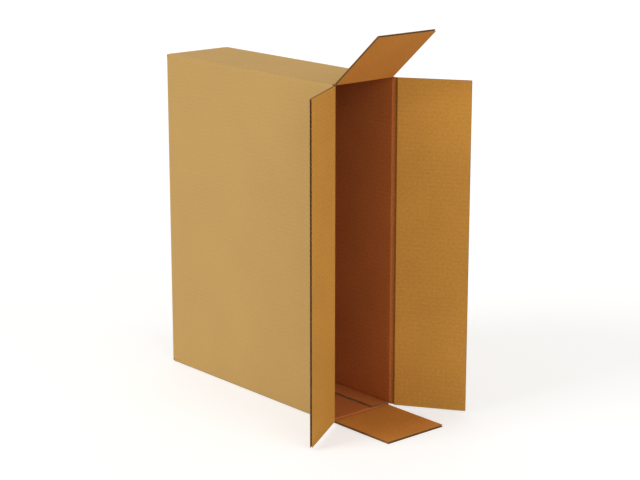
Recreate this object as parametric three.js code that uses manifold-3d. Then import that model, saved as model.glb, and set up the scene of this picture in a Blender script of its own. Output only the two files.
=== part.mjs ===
// Side-loading moving box: one sheet of corrugated board, folded into a tall narrow carton.
// It stands on a narrow side. One end is glued shut, and the other is open on four flaps.
// Millimetres, +Z up. The origin is the middle of the bottom panel, on the surface that the
// carton stands on, and +X points out of the open end.
import * as THREE from 'three';
import { mergeVertices } from 'three/addons/utils/BufferGeometryUtils.js';
import Module from 'manifold-3d';

const wasm = await Module();
wasm.setup();

// Carton, measured outside. Its length lies between the scores of the two narrow panels.
const height = 610;
const width = 143;
const length = 470;

// Corrugated board: two liners with a fluted medium between them
const board = 4;
const liner = 0.4;
const medium = 0.4;
const flutePitch = 7.8;
const fluteTip = 1.2;
const crushedBand = 9;

// Folds along the carton, and its glued joint
const foldRadius = 3;
const creaseRadius = 0.6;
const tabWidth = 40;
const tabEase = 1;

// Clearances between layers, beside the flaps, and past the edge of a closed flap
const layerGap = 0.3;
const flapTrim = 1.5;
const flapEase = 1;

// How far each open flap stands out from straight, in degrees
const opened = { near: 58, far: 34, top: 41, bottom: 0 };

// Each layer of flaps folds one board further out than the one under it.
const layerStep = board + layerGap;
// The sheet's edge is straight, so a flap with its score further out is that much shorter.
const sheetReach = width - board - flapEase + layerStep;
// A folded-back flap lies one gap off its wall, and a closed one keeps that gap at the score.
const hingeOffset = layerGap / 2;
const scoreGap = layerGap * (1 + Math.SQRT2);
// The cutters stand this far proud outside, and reach in past the creases of the folds.
const overshoot = 1;
const cutDepth = board + creaseRadius;
const clear = length / 2 + 4 * layerStep;
const arcSteps = 4;

const kraftOutside = { color: 0xc5a065, roughness: 0.9, metalness: 0 };
const kraftInside = { color: 0xbe9141, roughness: 0.9, metalness: 0 };

// The four panels in their order round the carton. Each has its own frame: X along the carton,
// Y inwards from the outer face and Z along the score. layer counts outwards from the first
// flaps to be folded shut, and up is the way that Z points on the tall ones.
const midHeight = height / 2;
const side = width / 2;
const panels = [
  { name: 'near', turn: 0, y: -side, z: midHeight, span: height, layer: 1, up: 1 },
  { name: 'far', turn: 180, y: side, z: midHeight, span: height, layer: 2, up: -1 },
  { name: 'top', turn: -90, y: 0, z: height, span: width, layer: 0, up: 0 },
  { name: 'bottom', turn: 90, y: 0, z: 0, span: width, layer: 0, up: 0 },
];
const coveredLayer = 1;

const radians = THREE.MathUtils.degToRad;
const scoreAt = (panel) => length / 2 + panel.layer * layerStep;
const flapDepth = (panel) => sheetReach - panel.layer * layerStep;
// The narrow flaps fit between the tall walls, and the tall ones cover the narrow panels' ends.
const flapSpan = (panel) => panel.span - 2 * (panel.layer === 0 ? board + flapTrim : flapTrim);
// A tall flap at the open end stays clear of the bottom flap, which lies level under it.
const openSpan = (panel) => flapSpan(panel) - Math.abs(panel.up) * board;

// The point at a distance from one corner towards another
function towards(from, to, distance) {
  const step = new THREE.Vector2().subVectors(to, from);
  return step.setLength(distance).add(from);
}

// A closed outline through corners [x, y, radius], rounded where a radius is given
function outline(corners) {
  const shape = new THREE.Shape();
  const points = corners.map(([x, y]) => new THREE.Vector2(x, y));
  corners.forEach(([, , radius = 0], i) => {
    const corner = points[i];
    const start = towards(corner, points.at(i - 1), radius);
    const end = towards(corner, points[(i + 1) % points.length], radius);
    if (i === 0) shape.moveTo(start.x, start.y);
    else shape.lineTo(start.x, start.y);
    if (radius > 0) shape.quadraticCurveTo(corner.x, corner.y, end.x, end.y);
  });
  return shape;
}

function rectangle(x0, y0, x1, y1) {
  return outline([[x0, y0], [x1, y0], [x1, y1], [x0, y1]]);
}

// Prisms of the shapes, which are drawn in X and Y, between two heights on Z
function prism(shapes, from, to) {
  const settings = { depth: to - from, bevelEnabled: false, curveSegments: arcSteps };
  return new THREE.ExtrudeGeometry(shapes, settings).translate(0, 0, from);
}

// The same with the shapes drawn in Y and Z, and the prisms along X
function prismAlongX(shapes, from, to) {
  const [x, y, z] = [0, 1, 2].map((axis) => new THREE.Vector3().setComponent(axis, 1));
  return prism(shapes, from, to).applyMatrix4(new THREE.Matrix4().makeBasis(y, z, x));
}

function inPanel(panel, geometry) {
  return geometry.rotateX(radians(panel.turn)).translate(0, panel.y, panel.z);
}

// Solids for joining and cutting
function solid(geometry) {
  const bare = geometry.clone();
  bare.deleteAttribute('normal');
  bare.deleteAttribute('uv');
  const merged = mergeVertices(bare);
  const vertProperties = new Float32Array(merged.attributes.position.array);
  const triVerts = new Uint32Array(merged.index.array);
  return new wasm.Manifold(new wasm.Mesh({ numProp: 3, vertProperties, triVerts }));
}

function meshOf(name, body, finish) {
  const result = body.getMesh();
  const geometry = new THREE.BufferGeometry();
  geometry.setAttribute('position', new THREE.BufferAttribute(result.vertProperties, 3));
  geometry.setIndex(new THREE.BufferAttribute(result.triVerts, 1));
  geometry.computeVertexNormals();
  const mesh = new THREE.Mesh(geometry, new THREE.MeshStandardMaterial(finish));
  mesh.name = name;
  return mesh;
}

// The sheet wrapped round the carton, seen along it: from the bottom panel's free edge under
// the far wall, round three folds, down the far wall and along the glue tab on the bottom panel
function wrap() {
  const tabEdge = side - tabWidth;
  const tabFloor = board + layerGap;
  const section = outline([
    [side, 0],
    [-side, 0, foldRadius],
    [-side, height, foldRadius],
    [side, height, foldRadius],
    [side, tabFloor, foldRadius],
    [tabEdge, tabFloor],
    [tabEdge, tabFloor + board],
    [side - board, tabFloor + board, creaseRadius],
    [side - board, height - board, creaseRadius],
    [-side + board, height - board, creaseRadius],
    [-side + board, board, creaseRadius],
    [side, board],
  ]);
  const reach = Math.max(...panels.map(scoreAt));
  return solid(prismAlongX(section, -reach, reach));
}

// What is cut off beyond a panel's open score, with the crushed side of the score sloping in
function beyondOpenScore(panel) {
  const lip = scoreAt(panel) - scoreGap / 2;
  const profile = outline([
    [lip + overshoot, -overshoot],
    [clear, -overshoot],
    [clear, cutDepth],
    [lip - cutDepth, cutDepth],
  ]);
  return acrossPanel(panel, profile);
}

// What is cut off beyond a panel's folded score, where the bend of the closed flap takes over
function beyondClosedScore(panel) {
  const profile = rectangle(-clear, -overshoot, foldRadius - scoreAt(panel), cutDepth);
  return acrossPanel(panel, profile);
}

// The narrow panels are cut right across, and the tall walls between them
function acrossPanel(panel, profile) {
  const half = panel.span / 2 + (panel.layer === 0 ? overshoot : -board);
  return solid(inPanel(panel, prism(profile, -half, half)));
}

// The glue tab stops short of the flaps that fold in past it, at both ends.
function beyondTabEnd(end) {
  const stop = end * (length / 2 - board - tabEase);
  const inside = side - board;
  const section = rectangle(inside - tabWidth, board, inside, layerStep + cutDepth);
  return solid(prismAlongX(section, Math.min(stop, end * clear), Math.max(stop, end * clear)));
}

// One half-flute between the liners, wide against one of them and narrow against the medium
function fluteSection(centre, pitch, underInnerLiner) {
  const halfBase = (pitch - fluteTip - medium) / 2;
  const base = underInnerLiner ? board - liner : liner;
  const tip = underInnerLiner ? liner + medium : board - liner - medium;
  return outline([
    [base, centre - halfBase],
    [base, centre + halfBase],
    [tip, centre + fluteTip / 2],
    [tip, centre - fluteTip / 2],
  ]);
}

// The flutes of a strip of board lying straight out along X, with its outer face at Y = 0. Their
// pitch is evened out over the span, so that each side edge is cut along the middle of one.
function flutes(span, from, to) {
  const count = Math.round(span / flutePitch);
  const pitch = span / count;
  const sections = [];
  for (let i = -count; i <= count; i += 1) {
    sections.push(fluteSection(i * pitch / 2, pitch, i % 2 !== 0));
  }
  return prismAlongX(sections, from, to);
}

// A flap's flutes are open at its free edge and pressed shut near its score.
function flapFlutes(panel, span) {
  return flutes(span, crushedBand, flapDepth(panel) + overshoot);
}

// The glue tab's flutes are open at both of its ends, up to the one that its fold presses shut.
function tabFlutes() {
  const span = tabWidth - board - flutePitch;
  const middle = side - tabWidth + span / 2;
  const strip = flutes(span, -length / 2, length / 2);
  return solid(strip.rotateX(radians(90)).translate(0, middle, board + layerGap));
}

// A glued flap bent in from its panel at the closed end, with its fold rounded outside. The
// covered one keeps a plain edge, because the far wall and the flap over it shut that edge in.
function closedFlap(panel) {
  const face = -scoreAt(panel);
  const root = face + foldRadius + board;
  const bend = outline([
    [root, 0],
    [face, 0, foldRadius],
    [face, flapDepth(panel)],
    [face + board, flapDepth(panel)],
    [face + board, board, creaseRadius],
    [root, board],
  ]);
  const half = flapSpan(panel) / 2;
  const sheet = solid(inPanel(panel, prism(bend, -half, half)));
  if (panel.layer === coveredLayer) return sheet;
  const hollows = flapFlutes(panel, 2 * half).rotateZ(radians(90)).rotateY(radians(180));
  return sheet.subtract(solid(inPanel(panel, hollows.translate(face, 0, 0))));
}

// An open flap lies straight out from its hinge axis, which runs just outside the outer face.
function openFlap(panel) {
  const profile = outline([
    [scoreGap / 2, 0],
    [flapDepth(panel), 0],
    [flapDepth(panel), board],
    [scoreGap / 2 + board, board],
  ]);
  const span = openSpan(panel);
  const sheet = solid(prism(profile, -span / 2, span / 2));
  const body = sheet.subtract(solid(flapFlutes(panel, span)));
  const flap = meshOf(`${panel.name}_flap`, body, kraftInside);
  flap.position.set(0, hingeOffset, panel.up * board / 2);
  const swing = new THREE.Group();
  swing.rotation.z = -radians(opened[panel.name]);
  swing.add(flap);
  return swing;
}

// A panel's own frame as a group, at the hinge axis of its open flap
function hingeOf(panel) {
  const outwards = new THREE.Vector3(0, -hingeOffset, 0);
  const hinge = new THREE.Group();
  hinge.rotation.x = radians(panel.turn);
  hinge.position.set(scoreAt(panel), panel.y, panel.z).add(outwards.applyEuler(hinge.rotation));
  return hinge;
}

function carton() {
  let body = wrap();
  for (const panel of panels) {
    body = body.subtract(beyondOpenScore(panel)).subtract(beyondClosedScore(panel));
  }
  for (const end of [-1, 1]) {
    body = body.subtract(beyondTabEnd(end));
  }
  body = body.subtract(tabFlutes());
  for (const panel of panels) {
    body = body.add(closedFlap(panel));
  }
  return meshOf('carton', body, kraftOutside);
}

const box = new THREE.Group();
box.name = 'side_loading_box';
box.add(carton());
for (const panel of panels) {
  const hinge = hingeOf(panel);
  hinge.add(openFlap(panel));
  box.add(hinge);
}

export default box;
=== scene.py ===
# Side-loading moving box: the look of the carton, on the frame of its solids
import math
import bmesh
import bpy
from mathutils import Matrix, Vector


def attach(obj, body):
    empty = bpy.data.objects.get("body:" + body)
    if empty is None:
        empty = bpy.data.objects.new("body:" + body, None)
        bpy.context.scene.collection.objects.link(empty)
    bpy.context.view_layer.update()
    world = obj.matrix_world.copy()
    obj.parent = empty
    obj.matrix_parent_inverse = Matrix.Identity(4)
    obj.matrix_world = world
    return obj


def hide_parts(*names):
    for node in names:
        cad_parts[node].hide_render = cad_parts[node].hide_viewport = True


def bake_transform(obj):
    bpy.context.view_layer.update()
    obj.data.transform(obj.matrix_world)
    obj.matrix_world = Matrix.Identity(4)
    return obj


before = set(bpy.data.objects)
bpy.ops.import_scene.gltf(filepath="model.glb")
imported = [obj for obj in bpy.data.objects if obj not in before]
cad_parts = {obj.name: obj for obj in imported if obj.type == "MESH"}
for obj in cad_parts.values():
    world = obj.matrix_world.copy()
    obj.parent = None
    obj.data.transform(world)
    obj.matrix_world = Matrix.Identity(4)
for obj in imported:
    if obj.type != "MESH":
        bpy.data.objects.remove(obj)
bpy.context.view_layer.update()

mm = 0.001
nearly = 0.1 * mm  # two places closer than this are taken as one

# The flat sheet of board: s runs along the carton with the flutes, and t round it
board = {
    "thick": 4 * mm,
    "liner": 0.4 * mm,
    "medium": 0.3 * mm,
    "pitch": 7.8 * mm,
    "stepsPerFlute": 10,
    "foldRadius": 3 * mm,
    "foldCrush": 2.7 * mm,  # what is left of the thickness in a fold
    "foldBand": 7 * mm,
    "scoreCrush": 0.8 * mm,
    "scoreGap": 0.36 * mm,  # from a score to where its crushed slopes would meet the outer face
    "wallSlope": 0.6,  # rise of the slope on the wall's side; the flap's is steeper, so they close
    "hingeOffset": 0.15 * mm,  # hinge axis, outside the outer face
    "tabCrush": 2.6 * mm,
    "waveSquareness": 1.4,
    "bow": 0.7 * mm,  # how far the tall walls sink in at their middle
    "sharpFrom": 38,  # degrees between faces that are shaded as an edge
}

# Each panel from its first fold to its next, with the place of its scores and the flap's angle
panels = {
    "bottom": {"from": 0.0, "to": 143 * mm, "score": 235 * mm, "open": 0},
    "near": {"from": 143 * mm, "to": 753 * mm, "score": 239.3 * mm, "open": 58},
    "top": {"from": 753 * mm, "to": 896 * mm, "score": 235 * mm, "open": 41},
    "far": {"from": 896 * mm, "to": 1501.7 * mm, "score": 243.6 * mm, "open": 34},
}

# Where the flat sheet is cut, along it and round it
cuts = {
    "sheetEdge": 377.3 * mm,
    "slotHalf": 5.5 * mm,
    "slotEnd": 233.5 * mm,
    "trim": 1.5 * mm,  # a tall flap is this much shorter than its panel at each end
    "tabEdge": 1541.7 * mm,
    "tabEnd": 230 * mm,
    "hollow": 12 * mm,  # how deep the open flutes of the glue tab go in
    "creaseHalf": 1.5 * mm,
    "bendReach": 9 * mm,  # the closed flaps are hollow from here on
}

# The carton's section, (y, z) along the outer face, from the edge under the far wall to the tab
section = [
    Vector(corner) * mm
    for corner in ((71.5, 0), (-71.5, 0), (-71.5, 610), (71.5, 610), (71.5, 4.3), (31.5, 4.3))
]


def smooth(share):
    share = min(1, max(0, share))
    return share * share * (3 - 2 * share)


def between(low, high, share):
    return low + (high - low) * share


# A place on a path that turns right at each corner, and a step in from its outer side. Half of
# each turn is made over one radius before the corner, and half over one after it.
def onPath(path, along, inwards):
    radius, half = board["foldRadius"], math.radians(45)
    last = len(path) - 2
    for index in range(last + 1):
        start, end = path[index], path[index + 1]
        run = (end - start).length
        if along <= run or index == last:
            break
        along -= run
    heading = (end - start) / run
    inside = Vector((heading.y, -heading.x))
    if index > 0 and along < radius:
        turn = half * (1 - along / radius)
        centre = start + (heading + inside) * radius
        inside = inside * math.cos(turn) + heading * math.sin(turn)
        return centre + inside * (inwards - radius)
    if index < last and run - along < radius:
        turn = half * (1 - (run - along) / radius)
        centre = end + (inside - heading) * radius
        inside = inside * math.cos(turn) - heading * math.sin(turn)
        return centre + inside * (inwards - radius)
    return start + heading * along + inside * inwards


# The same beside a panel, where its flat goes on past the folds
def besidePanel(panel, t, inwards):
    index = list(panels.values()).index(panel)
    heading = (section[index + 1] - section[index]).normalized()
    inside = Vector((heading.y, -heading.x))
    return section[index] + heading * (t - panel["from"]) + inside * inwards


def isTall(panel):
    return panel["to"] - panel["from"] > 300 * mm


def panelAt(t):
    for panel in panels.values():
        if t <= panel["to"]:
            return panel
    return panels["far"]


def foldDistance(t):
    return min(abs(t - panel["to"]) for panel in panels.values())


# Next to a fold the score runs over from one panel's line to the next one's, short of the slots
def scoreAt(s, t):
    radius = board["foldRadius"]
    if s > cuts["slotEnd"]:
        return panelAt(t)["score"]
    order = list(panels.values())
    for panel, following in zip(order, order[1:]):
        if abs(t - panel["to"]) < radius:
            share = (t - panel["to"] + radius) / (2 * radius)
            return between(panel["score"], following["score"], share)
    return panelAt(t)["score"]


def crushed(distance, left, start, band):
    return between(left, board["thick"], smooth((distance - start) / (band - start)))


# An open score slopes off on both sides like a mitre, so that its flap can fold shut
def sloped(past):
    rise = board["wallSlope"] if past < 0 else 1 / board["wallSlope"]
    left = (abs(past) - board["scoreGap"]) * rise
    return min(board["thick"], max(board["scoreCrush"], left))


# How thick the board still is where it is scored and folded
def thicknessAt(s, t):
    score = scoreAt(s, t)
    opened = sloped(s - score)
    shut = crushed(abs(s + score), board["foldCrush"], board["foldRadius"], board["foldBand"])
    if abs(s) > score:
        return min(opened, shut)
    folded = crushed(foldDistance(t), board["foldCrush"], board["foldRadius"], board["foldBand"])
    if t > panels["far"]["to"] + board["foldRadius"]:
        folded = min(folded, board["tabCrush"])
    return min(opened, shut, folded)


def sunk(s, t):
    panel = panelAt(t)
    if not isTall(panel) or abs(s) > panel["score"]:
        return 0
    across = math.sin(math.pi * (t - panel["from"]) / (panel["to"] - panel["from"]))
    return board["bow"] * max(0, across) * math.cos(math.pi * s / (2 * panel["score"]))


# The folded place of a point of the flat sheet, with the flaps of the closed end shut
def shutPlace(s, t, height):
    score, beyond = scoreAt(s, t), 300 * mm  # the path starts and ends past the sheet
    height *= thicknessAt(s, t) / board["thick"]
    along = [Vector((beyond, 0)), Vector((-score, 0)), Vector((-score, beyond))]
    x, inwards = onPath(along, beyond - s, height)
    if s < board["foldRadius"] - score or s > cuts["slotEnd"] + nearly:
        y, z = besidePanel(panelAt(t), t, inwards)
    else:
        y, z = onPath(section, t, inwards + sunk(s, t))
    return Vector((x, y, z))


# The place of a point of an open flap, or of its crease, where only a share of the turn is made
def openPlace(panel, s, t, height, turn):
    height = height * thicknessAt(s, t) / board["thick"] + board["hingeOffset"]
    reach = s - panel["score"]
    x = panel["score"] + reach * math.cos(turn) + height * math.sin(turn)
    inwards = height * math.cos(turn) - reach * math.sin(turn) - board["hingeOffset"]
    y, z = besidePanel(panel, t, inwards)
    return Vector((x, y, z))


# A flat sheet from line to line, cut along each of them; s is X and t is Y
def ruledSheet(sLines, tLines, tSteps=1):
    sheet = bmesh.new()
    size = Vector((sLines[-1] - sLines[0], tLines[-1] - tLines[0]))
    middle = Vector((sLines[0] + size.x / 2, tLines[0] + size.y / 2, 0))
    spread = Matrix.Translation(middle) @ Matrix.Diagonal((size.x, size.y, 1, 1))
    bmesh.ops.create_grid(sheet, x_segments=1, y_segments=tSteps, size=0.5, matrix=spread)
    for axis, cutLines in enumerate((sLines, tLines)):
        for line in cutLines[1:-1]:
            point, normal = Vector((0, 0, 0)), Vector((0, 0, 0))
            point[axis], normal[axis] = line, 1
            everything = sheet.verts[:] + sheet.edges[:] + sheet.faces[:]
            bmesh.ops.bisect_plane(
                sheet, geom=everything, dist=1e-7, plane_co=point, plane_no=normal
            )
    return sheet


# Gives a sheet its thickness, a UV map of the flat sheet, and a material for each side and rim
def thicken(sheet, base, thickness, materials):
    bmesh.ops.translate(sheet, verts=sheet.verts[:], vec=(0, 0, base))
    grown = bmesh.ops.extrude_face_region(sheet, geom=sheet.faces[:], use_keep_orig=True)
    raised = [part for part in grown["geom"] if isinstance(part, bmesh.types.BMVert)]
    bmesh.ops.translate(sheet, verts=raised, vec=(0, 0, thickness))
    bmesh.ops.recalc_face_normals(sheet, faces=sheet.faces[:])
    low, high, rim = materials
    for face in sheet.faces:
        face.normal_update()
        if abs(face.normal.z) < 0.5:  # upright
            face.material_index = rim
        else:
            face.material_index = low if face.normal.z < 0 else high


def layFlat(sheet):
    flat = sheet.loops.layers.uv.new("flat")
    for face in sheet.faces:
        for corner in face.loops:
            place = corner.vert.co
            corner[flat].uv = (place.x + place.z, place.y + place.z)


# How far each mark reaches from its fold or score, and how strong it is in its mask. The rub mark
# is wear; all the others are painted shade in the crease mask
marks = {
    "rub": {"reach": 3.2 * mm, "strength": 1},
    # painted shade on the outer arc of a fold, which darkens the highlight that the rounded arc
    # catches
    "foldOutsideShade": {"reach": 3.2 * mm, "strength": 0.45},
    "foldInsideShade": {"reach": 4.5 * mm, "strength": 1},
    # score and wallSlope: painted shade along the valley of a score and on the wall's slope beside
    # it
    "score": {"reach": 1.2 * mm, "strength": 1.8},
    "wallSlope": {"start": 3 * mm, "reach": 4 * mm, "strength": 0.5},
    # painted shade of a score, as it shows on the outer liner
    "scoreShadeOutside": 0.25,  # what shows of a score's mark on the outer liner
}


def markFade(name, distance):
    mark = marks[name]
    return mark["strength"] * (1 - smooth((distance - mark.get("start", 0)) / mark["reach"]))


# Masks for the materials: where the folds are rubbed outside, which is wear, and the crease mask,
# which is painted shade: darker in and beside the scores, in the inner corners of the folds and on
# their outer arcs
def markWearAndPaintedShade(sheet):
    wear = sheet.verts.layers.float.new("wear")
    crease = sheet.verts.layers.float.new("crease")
    for point in sheet.verts:
        s, t, height = point.co
        score = scoreAt(s, t)
        nearest = foldDistance(t) if abs(s) < score else 1
        nearest = min(nearest, abs(s + score))
        line = markFade("score", abs(s - score))
        if s < score:
            line = max(line, markFade("wallSlope", score - s))
        if height < board["thick"] / 2:
            point[wear] = markFade("rub", nearest)
            point[crease] = max(marks["scoreShadeOutside"] * line, markFade("foldOutsideShade", nearest))
        else:
            point[crease] = max(line, markFade("foldInsideShade", nearest))


def fold(sheet, place):
    for point in sheet.verts:
        point.co = place(*point.co)
    bmesh.ops.recalc_face_normals(sheet, faces=sheet.faces[:])


# Sorted lines for a ruled sheet, from spans of (from, to, steps), without near doubles
def spaced(*spans):
    found = []
    for start, end, count in spans:
        found += [between(start, end, step / count) for step in range(count + 1)]
    kept = []
    for line in sorted(found):
        if not kept or line - kept[-1] > nearly / 2:
            kept.append(line)
    return kept


# Spans that are a single line each
def at(*places):
    return [(place, place, 1) for place in places]


# The material slots of the board, in the order that its pieces are dressed in
outer, inner, raw, cut = range(4)


# A strip of board with its flutes open at the ends: two liners, and the medium between them
def corrugated(sLines, tFrom, tTo):
    thick, liner, medium = board["thick"], board["liner"], board["medium"]
    count = max(1, round((tTo - tFrom) / board["pitch"]))
    tLines = spaced((tFrom, tTo, max(2, count // 2)))
    sheets = []
    for base, depth, materials in (
        (0, liner, (outer, raw, cut)),
        (thick - liner, liner, (raw, inner, cut)),
    ):
        sheet = ruledSheet(sLines, tLines)
        thicken(sheet, base, depth, materials)
        sheets.append(sheet)
    waves = ruledSheet(sLines, [tFrom, tTo], count * board["stepsPerFlute"])
    thicken(waves, (thick - medium) / 2, medium, (raw, raw, cut))
    swing, square = thick / 2 - liner - medium / 2, board["waveSquareness"]
    for point in waves.verts:
        phase = math.cos(2 * math.pi * count * (point.co.y - tFrom) / (tTo - tFrom))
        point.co.z -= swing * math.tanh(square * phase) / math.tanh(square)
    sheets.append(waves)
    return sheets


def joined(sheets, name):
    whole = bmesh.new()
    for sheet in sheets:
        part = bpy.data.meshes.new("part")
        sheet.to_mesh(part)
        sheet.free()
        whole.from_mesh(part)
        bpy.data.meshes.remove(part)
    mesh = bpy.data.meshes.new(name)
    whole.to_mesh(mesh)
    whole.free()
    piece = bpy.data.objects.new(name, mesh)
    bpy.context.scene.collection.objects.link(piece)
    mesh.shade_smooth()
    mesh.set_sharp_from_angle(angle=math.radians(board["sharpFrom"]))
    return piece


def dress(piece, *papers):
    for name in papers:
        piece.data.materials.append(bpy.data.materials[name])


def newGroup(name, inputs, outputs):
    group = bpy.data.node_groups.new(name, "ShaderNodeTree")
    for label, kind, value in inputs:
        socket = group.interface.new_socket(label, in_out="INPUT", socket_type=kind)
        if value is not None:
            socket.default_value = value
    for label, kind in outputs:
        group.interface.new_socket(label, in_out="OUTPUT", socket_type=kind)
    return group, group.nodes.new("NodeGroupInput"), group.nodes.new("NodeGroupOutput")


# Noise over the flat sheet; stretch gives it a scale along the carton and another round it
def noise(tree, sheet, grain):
    if "stretch" in grain:
        mapping = tree.nodes.new("ShaderNodeMapping")
        mapping.inputs["Scale"].default_value = (*grain["stretch"], 1)
        tree.links.new(sheet, mapping.inputs["Vector"])
        sheet = mapping.outputs["Vector"]
    node = tree.nodes.new("ShaderNodeTexNoise")
    node.noise_dimensions = "2D"
    node.inputs["Scale"].default_value = grain.get("scale", 1)
    node.inputs["Detail"].default_value = grain["detail"]
    node.inputs["Roughness"].default_value = grain.get("rough", 0.5)
    tree.links.new(sheet, node.inputs["Vector"])
    return node.outputs["Fac"]


def calc(tree, operation, first, second=None, clamp=False):
    node = tree.nodes.new("ShaderNodeMath")
    node.operation = operation
    node.use_clamp = clamp
    for socket, value in zip(node.inputs, (first, second)):
        if value is None:
            continue
        if isinstance(value, (int, float)):
            socket.default_value = value
        else:
            tree.links.new(value, socket)
    return node.outputs[0]


def addTimes(tree, total, value, factor):
    return calc(tree, "ADD", total, calc(tree, "MULTIPLY", value, factor))


pulp = {
    "wide": {"scale": 9, "detail": 3},
    "wideShare": 0.5,  # how strong the widest clouds are next to the others
    "cloud": {"scale": 210, "detail": 5, "rough": 0.65},
    "cloudRelief": 0.5,
    "fibre": {"stretch": (1500, 420), "detail": 4, "rough": 0.7},
    "fleck": {"stretch": (900, 640), "detail": 2},
    "darkBelow": 0.335,  # a fleck starts where its noise is under or over these
    "paleAbove": 0.68,
    "darkStrength": 1.7,
}


# Pulp clouds, fibres laid round the carton, and dark and pale flecks
def makeFibreGroup():
    group, start, end = newGroup(
        "kraftFibres",
        [
            ("Sheet", "NodeSocketVector", None),
            ("Clouds", "NodeSocketFloat", 0.06),
            ("Fibres", "NodeSocketFloat", 0.06),
            ("Flecks", "NodeSocketFloat", 0.25),
        ],
        [("Tone", "NodeSocketFloat"), ("Height", "NodeSocketFloat")],
    )
    grains = ("wide", "cloud", "fibre", "fleck")
    sheet = start.outputs["Sheet"]
    wide, cloud, fibre, fleck = (noise(group, sheet, pulp[name]) for name in grains)
    dark = calc(group, "SUBTRACT", pulp["darkBelow"], fleck, clamp=True)
    pale = calc(group, "SUBTRACT", fleck, pulp["paleAbove"], clamp=True)
    dark = calc(group, "MULTIPLY", dark, pulp["darkStrength"])
    flecks = calc(group, "SUBTRACT", pale, dark)
    wide, clouds, fibres = (calc(group, "SUBTRACT", each, 0.5) for each in (wide, cloud, fibre))
    wide = calc(group, "MULTIPLY", wide, pulp["wideShare"])
    tone = calc(group, "MULTIPLY", clouds, start.outputs["Clouds"])
    tone = addTimes(group, tone, wide, start.outputs["Clouds"])
    tone = addTimes(group, tone, fibres, start.outputs["Fibres"])
    tone = addTimes(group, tone, flecks, start.outputs["Flecks"])
    group.links.new(calc(group, "ADD", tone, 1), end.inputs["Tone"])
    height = addTimes(group, fibre, cloud, pulp["cloudRelief"])
    group.links.new(height, end.inputs["Height"])
    return group


fluteLines = {
    "waver": {"stretch": (6, 14), "detail": 2},
    "waverBy": 1.2 * mm,
    "patches": {"stretch": (7, 60), "detail": 3},
    "patchiness": 0.6,
    "strongest": 1.2,
}


# The liner sinks a little between the tips of the flutes, so they show through as fine lines; the
# materials also paint the sunk lines a little darker, as painted shade
def makeFluteGroup():
    group, start, end = newGroup(
        "fluteLines",
        [
            ("Sheet", "NodeSocketVector", None),
            ("Pitch", "NodeSocketFloat", board["pitch"]),
            ("Unevenness", "NodeSocketFloat", 0.5),
        ],
        [("Lines", "NodeSocketFloat")],
    )
    sheet = start.outputs["Sheet"]
    parts = group.nodes.new("ShaderNodeSeparateXYZ")
    group.links.new(sheet, parts.inputs[0])
    waver = noise(group, sheet, fluteLines["waver"])
    across = addTimes(group, parts.outputs["Y"], waver, fluteLines["waverBy"])
    phase = calc(group, "DIVIDE", across, start.outputs["Pitch"])
    phase = calc(group, "MULTIPLY", phase, 2 * math.pi)
    wave = calc(group, "ADD", calc(group, "SINE", phase), 1)
    wave = calc(group, "MULTIPLY", wave, 0.5)
    patches = noise(group, sheet, fluteLines["patches"])
    patches = calc(group, "MULTIPLY", patches, start.outputs["Unevenness"])
    strength = calc(group, "SUBTRACT", fluteLines["strongest"], patches)
    group.links.new(calc(group, "MULTIPLY", wave, strength), end.inputs["Lines"])
    return group


linerLook = {
    "clouds": 0.16,
    "fibres": 0.14,
    "flecks": 0.8,
    "fluteLineShade": 0.02,
    "fluteRelief": 0.05,
    "grainRelief": 0.05,
    "wear": 0.04,
    # how dark the painted shade of the crease mask makes the paper
    "crease": 0.3,
    "specular": 0.12,
    "bumpDepth": 1 * mm,
}
insideLook = dict(linerLook, clouds=0.42, fibres=0.44, fluteLineShade=0.035, fluteRelief=0.06)
rawLook = dict(linerLook, clouds=0.2, fluteLineShade=0, fluteRelief=0, wear=0, crease=0)

# The narrow flaps' insides have a paper of their own, painted redder with the red light that the
# interior reflects onto them.
papers = {
    "kraftOutside": {"colour": (0.556, 0.346, 0.122), "look": linerLook, "roughness": 0.86},
    "kraftInside": {"colour": (0.555, 0.264, 0.049), "look": insideLook, "roughness": 0.84},
    "kraftNarrowRedBounce": {"colour": (0.600, 0.236, 0.043), "look": insideLook, "roughness": 0.84},
    # The interior's paper is painted darker and redder than the flaps' insides: painted shade and
    # painted red reflected light inside the box.
    "kraftInteriorShaded": {"colour": (0.525, 0.164, 0.041), "look": insideLook, "roughness": 0.86},
    "flutingPaper": {"colour": (0.300, 0.160, 0.062), "look": rawLook, "roughness": 0.95},
    "cutBoard": {"colour": (0.380, 0.210, 0.085), "look": rawLook, "roughness": 0.95},
}


def placed(nodes, group, **values):
    node = nodes.new("ShaderNodeGroup")
    node.node_tree = group
    for label, value in values.items():
        node.inputs[label].default_value = value
    return node


def attribute(nodes, name):
    node = nodes.new("ShaderNodeAttribute")
    node.attribute_name = name
    return node.outputs["Fac"]


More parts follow.
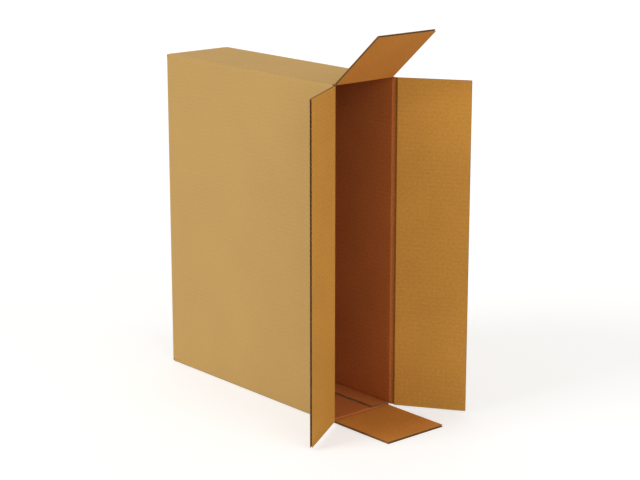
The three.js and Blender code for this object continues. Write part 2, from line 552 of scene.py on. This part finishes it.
def makePaper(name, fibreGroup, fluteGroup):
    base, look = papers[name]["colour"], papers[name]["look"]
    material = bpy.data.materials.new(name)
    material.use_nodes = True
    material.diffuse_color = (*base, 1)
    tree = material.node_tree
    nodes, links = tree.nodes, tree.links
    surface = nodes["Principled BSDF"]
    surface.inputs["Roughness"].default_value = papers[name]["roughness"]
    surface.inputs["Specular IOR Level"].default_value = look["specular"]

    sheet = nodes.new("ShaderNodeUVMap")
    sheet.uv_map = "flat"
    shares = {label: look[label.lower()] for label in ("Clouds", "Fibres", "Flecks")}
    fibres = placed(nodes, fibreGroup, **shares)
    flutes = placed(nodes, fluteGroup, Unevenness=fluteLines["patchiness"])
    for node in (fibres, flutes):
        links.new(sheet.outputs["UV"], node.inputs["Sheet"])

    # painted shade in the sunk lines between the flute tips
    lines = calc(tree, "MULTIPLY", flutes.outputs["Lines"], look["fluteLineShade"])
    tone = calc(tree, "SUBTRACT", fibres.outputs["Tone"], lines)
    rubbed = calc(tree, "MULTIPLY", attribute(nodes, "wear"), fibres.outputs["Height"])
    tone = addTimes(tree, tone, rubbed, look["wear"])
    # painted shade: the crease mask darkens the scores, the inner corners of the folds and their
    # outer arcs
    paintedCreaseShade = calc(tree, "MULTIPLY", attribute(nodes, "crease"), look["crease"])
    tinted = nodes.new("ShaderNodeMix")
    tinted.data_type = "RGBA"
    tinted.blend_type = "MULTIPLY"
    tinted.inputs["Factor"].default_value = 1
    tinted.inputs["A"].default_value = (*base, 1)
    links.new(calc(tree, "SUBTRACT", tone, paintedCreaseShade), tinted.inputs["B"])
    links.new(tinted.outputs["Result"], surface.inputs["Base Color"])

    relief = calc(tree, "MULTIPLY", flutes.outputs["Lines"], look["fluteRelief"])
    grain = calc(tree, "MULTIPLY", fibres.outputs["Height"], look["grainRelief"])
    bump = nodes.new("ShaderNodeBump")
    bump.inputs["Distance"].default_value = look["bumpDepth"]
    bump.inputs["Strength"].default_value = 1
    links.new(calc(tree, "SUBTRACT", grain, relief), bump.inputs["Height"])
    links.new(bump.outputs["Normal"], surface.inputs["Normal"])


kraftFibres, kraftFlutes = makeFibreGroup(), makeFluteGroup()
for name in papers:
    makePaper(name, kraftFibres, kraftFlutes)
print("materials made")

# Where the closed far flap ends at the bottom, and the open one, which clears the bottom flap
farFoot = panels["far"]["from"] + section[2].y - cuts["trim"]
openFoot = farFoot + cuts["trim"] - cuts["slotHalf"]


# Whether a point of the flat sheet is on the carton's own mesh, and not in a slot, in an open
# flap or in one of the strips that are hollow
def allowed(s, t):
    panel = panelAt(t)
    atSlot = foldDistance(t) < cuts["slotHalf"] or t < cuts["slotHalf"]
    tabFold = panels["far"]["to"]
    if t > tabFold + cuts["slotHalf"]:
        return abs(s) < cuts["tabEnd"] - cuts["hollow"]
    if t > tabFold + board["foldRadius"]:
        return abs(s) < cuts["tabEnd"]
    if t > tabFold - cuts["slotHalf"]:
        end = panels["far"]["score"]
        beyond = -end - cuts["bendReach"] < s < board["foldRadius"] - end
        hinged = cuts["slotEnd"] < s < end - cuts["creaseHalf"]
        return abs(s) < cuts["slotEnd"] or beyond and t < farFoot or hinged and t < openFoot
    covered = panel is panels["near"]
    shut = cuts["sheetEdge"] if covered else panel["score"] + cuts["bendReach"]
    hinged = s < panel["score"] - cuts["creaseHalf"]
    if atSlot:
        # past the slots the tall walls and flaps reach nearly to the ends of their panels
        tall = isTall(panel) and foldDistance(t) > cuts["trim"]
        return abs(s) < cuts["slotEnd"] or tall and (
            cuts["slotEnd"] < s and hinged or -shut < s < board["foldRadius"] - panel["score"]
        )
    return -shut < s and hinged


# The carton's mesh along it, in spans of (from, to, steps), fine at its bends and open scores
alongCarton = (
    (-cuts["sheetEdge"], -260 * mm, 4),
    (-260 * mm, -224 * mm, 30),
    (-224 * mm, 218 * mm, 12),
    (218 * mm, 244 * mm, 18),
)
stepsRound = 38
besideFold = (  # reach to either side of each fold, and the steps across it
    (cuts["slotHalf"], 2),
    (8 * mm, 2),
    (cuts["trim"], 2),
    (board["foldRadius"], 8),
)
fluteShadow = 2 * mm  # how deep the long cut edges are hollow


# The walls, their folds, the glue tab and the closed end
def makeCarton():
    slot, reach, rim = cuts["slotHalf"], cuts["bendReach"], cuts["creaseHalf"]
    radius, slope = board["foldRadius"], board["scoreGap"] + board["thick"] / board["wallSlope"]
    scores = sorted({panel["score"] for panel in panels.values()})
    tabHollow = cuts["tabEnd"] - cuts["hollow"]
    sLines = spaced(
        *alongCarton,
        *at(*(score + place for score in scores for place in (-slope, -rim))),
        *at(*(place - score for score in scores for place in (radius, -reach))),
        *at(-cuts["slotEnd"], -cuts["tabEnd"], -tabHollow, tabHollow, cuts["tabEnd"]),
    )
    tSpans = [(0, cuts["tabEdge"], stepsRound), *at(slot, farFoot, openFoot)]
    for panel in panels.values():
        turn = panel["to"]
        tSpans += [(turn - beside, turn + beside, count) for beside, count in besideFold]
    sheet = ruledSheet(sLines, spaced(*tSpans))
    outside = [
        face
        for face in sheet.faces
        if not allowed(face.calc_center_median().x, face.calc_center_median().y)
    ]
    bmesh.ops.delete(sheet, geom=outside, context="FACES")
    thicken(sheet, 0, board["thick"], (outer, inner, cut))
    # the long cut edges, of the bottom panel and of the tab, are hollow between the liners
    for edge in (0, cuts["tabEdge"]):
        along = [
            face
            for face in sheet.faces
            if abs(face.calc_center_median().y - edge) < nearly and abs(face.normal.y) > 0.9
        ]
        bmesh.ops.inset_region(
            sheet,
            faces=along,
            thickness=board["liner"],
            depth=-fluteShadow,
            use_even_offset=True,
        )
        for face in along:
            face.material_index = raw
    sheets = [sheet]
    for name in ("far", "top", "bottom"):
        panel = panels[name]
        start = -panel["score"] - reach
        sLines = spaced((-cuts["sheetEdge"], start, 4))
        tFrom, tTo = panel["from"] + slot, panel["to"] - slot
        if name == "far":
            tFrom, tTo = panel["from"] + cuts["trim"], farFoot
        sheets += corrugated(sLines, tFrom, tTo)
    for start in (-cuts["tabEnd"], tabHollow):
        sLines = spaced((start, start + cuts["hollow"], 2))
        sheets += corrugated(sLines, panels["far"]["to"] + slot, cuts["tabEdge"])
    for each in sheets:
        layFlat(each)
        markWearAndPaintedShade(each)
        fold(each, shutPlace)
    piece = joined(sheets, "cartonBoard")
    dress(piece, "kraftOutside", "kraftInteriorShaded", "flutingPaper", "cutBoard")
    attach(piece, "carton")
    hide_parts("carton")
    print("carton", len(piece.data.polygons), "faces")


makeCarton()


# Steps along a flap's mesh: across its crease, its crushed slope and the rest of it
flapSteps = {"crease": 12, "slope": 4, "rest": 4}


# An open flap, and the crease that joins it to its panel and bends with it
def makeFlap(name):
    panel = panels[name]
    turn = math.radians(panel["open"])
    score, rim = panel["score"], cuts["creaseHalf"]
    tFrom, tTo = panel["from"] + cuts["slotHalf"], panel["to"] - cuts["slotHalf"]
    if name == "near":
        tTo = panel["to"] - cuts["trim"]
    if name == "far":
        tFrom, tTo = panel["from"] + cuts["trim"], openFoot
    slopeEnd = score + board["scoreGap"] + board["thick"] * board["wallSlope"]
    slopeSpan = (score + rim, slopeEnd, flapSteps["slope"])
    restSpan = (slopeEnd, cuts["sheetEdge"], flapSteps["rest"])
    sheets = corrugated(spaced(slopeSpan, restSpan), tFrom, tTo)
    for sheet in sheets:
        layFlat(sheet)
        markWearAndPaintedShade(sheet)
        fold(sheet, lambda s, t, height: openPlace(panel, s, t, height, turn))
    piece = joined(sheets, f"{name}FlapBoard")
    inside = "kraftInside" if isTall(panel) else "kraftNarrowRedBounce"
    dress(piece, "kraftOutside", inside, "flutingPaper", "cutBoard")
    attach(piece, f"{name}_flap")
    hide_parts(f"{name}_flap")

    count = flapSteps["crease"]
    strip = ruledSheet(spaced((score - rim, score + rim, count)), spaced((tFrom, tTo, count)))
    thicken(strip, 0, board["thick"], (0, 1, 2))
    layFlat(strip)
    markWearAndPaintedShade(strip)

    def bent(s, t, height):
        share = smooth((s - score + rim) / (2 * rim))
        return openPlace(panel, s, t, height, turn * share)

    fold(strip, bent)
    crease = joined([strip], f"{name}Crease")
    dress(crease, "kraftOutside", inside, "cutBoard")
    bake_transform(crease)
    print(name, "flap", len(piece.data.polygons), "faces")


for name in panels:
    makeFlap(name)

light = {
    "sky": 0.46,
    "skyTint": (1, 0.975, 0.91),
    "key": {"power": 1.54, "from": (-0.3, -1.0, 0.55), "softness": 34},  # degrees across
    "fill": {"power": 1.86, "from": (1.0, -0.1, 0.27), "softness": 60},
    "back": {"power": 0.6, "from": (-1.0, 0.9, 0.5), "softness": 60},
    "floorSize": 40.0,
    "floorBounce": 0.6,  # the floor's white as the carton sees it
    "floorGlow": 0.55,
    "floorShade": 0.55,  # how much of the floor's white is left to the light, and so to the shadow
}


def makeStage():
    bpy.ops.mesh.primitive_plane_add(size=light["floorSize"], location=(0, 0, 0))
    floor = bpy.context.active_object
    floor.name = "floor"
    material = bpy.data.materials.new("floorWhite")
    material.use_nodes = True
    nodes, links = material.node_tree.nodes, material.node_tree.links
    nodes.remove(nodes["Principled BSDF"])
    path = nodes.new("ShaderNodeLightPath")
    plain, shown = nodes.new("ShaderNodeBsdfDiffuse"), nodes.new("ShaderNodeBsdfDiffuse")
    plain.inputs["Color"].default_value = (*[light["floorBounce"]] * 3, 1)
    shown.inputs["Color"].default_value = (*[light["floorShade"]] * 3, 1)
    glow = nodes.new("ShaderNodeEmission")
    glow.inputs["Strength"].default_value = light["floorGlow"]
    both, pick = nodes.new("ShaderNodeAddShader"), nodes.new("ShaderNodeMixShader")
    links.new(shown.outputs[0], both.inputs[0])
    links.new(glow.outputs[0], both.inputs[1])
    links.new(path.outputs["Is Camera Ray"], pick.inputs[0])
    links.new(plain.outputs[0], pick.inputs[1])
    links.new(both.outputs[0], pick.inputs[2])
    links.new(pick.outputs[0], nodes["Material Output"].inputs["Surface"])
    floor.data.materials.append(material)


def makeSky():
    world = bpy.data.worlds.new("studio")
    bpy.context.scene.world = world
    world.use_nodes = True
    nodes, links = world.node_tree.nodes, world.node_tree.links
    path = nodes.new("ShaderNodeLightPath")
    soft, white = nodes["Background"], nodes.new("ShaderNodeBackground")
    soft.inputs["Strength"].default_value = light["sky"]
    soft.inputs["Color"].default_value = (*light["skyTint"], 1)
    white.inputs["Color"].default_value = (1, 1, 1, 1)
    white.inputs["Strength"].default_value = 1
    pick = nodes.new("ShaderNodeMixShader")
    links.new(path.outputs["Is Camera Ray"], pick.inputs[0])
    links.new(soft.outputs[0], pick.inputs[1])
    links.new(white.outputs[0], pick.inputs[2])
    links.new(pick.outputs[0], nodes["World Output"].inputs["Surface"])


def addLamp(name):
    lamp = bpy.data.lights.new(name, "SUN")
    lamp.energy = light[name]["power"]
    lamp.angle = math.radians(light[name]["softness"])
    holder = bpy.data.objects.new(name, lamp)
    holder.rotation_euler = Vector(light[name]["from"]).to_track_quat("Z", "Y").to_euler()
    bpy.context.scene.collection.objects.link(holder)


makeStage()
makeSky()
for name in ("key", "fill", "back"):
    addLamp(name)

view = {
    "place": (2.4943, -2.0615, 1.1086),
    "heading": (-0.7312, 0.6353, -0.2481),
    "lens": 100.7,
}

camera = bpy.data.objects.new("camera", bpy.data.cameras.new("camera"))
camera.location = view["place"]
camera.rotation_euler = Vector(view["heading"]).to_track_quat("-Z", "Y").to_euler()
camera.data.lens = view["lens"]
camera.data.sensor_width = 36
camera.data.clip_end = 100
bpy.context.scene.collection.objects.link(camera)
bpy.context.scene.camera = camera
bpy.context.scene.view_settings.view_transform = "Standard"
print("stage set")
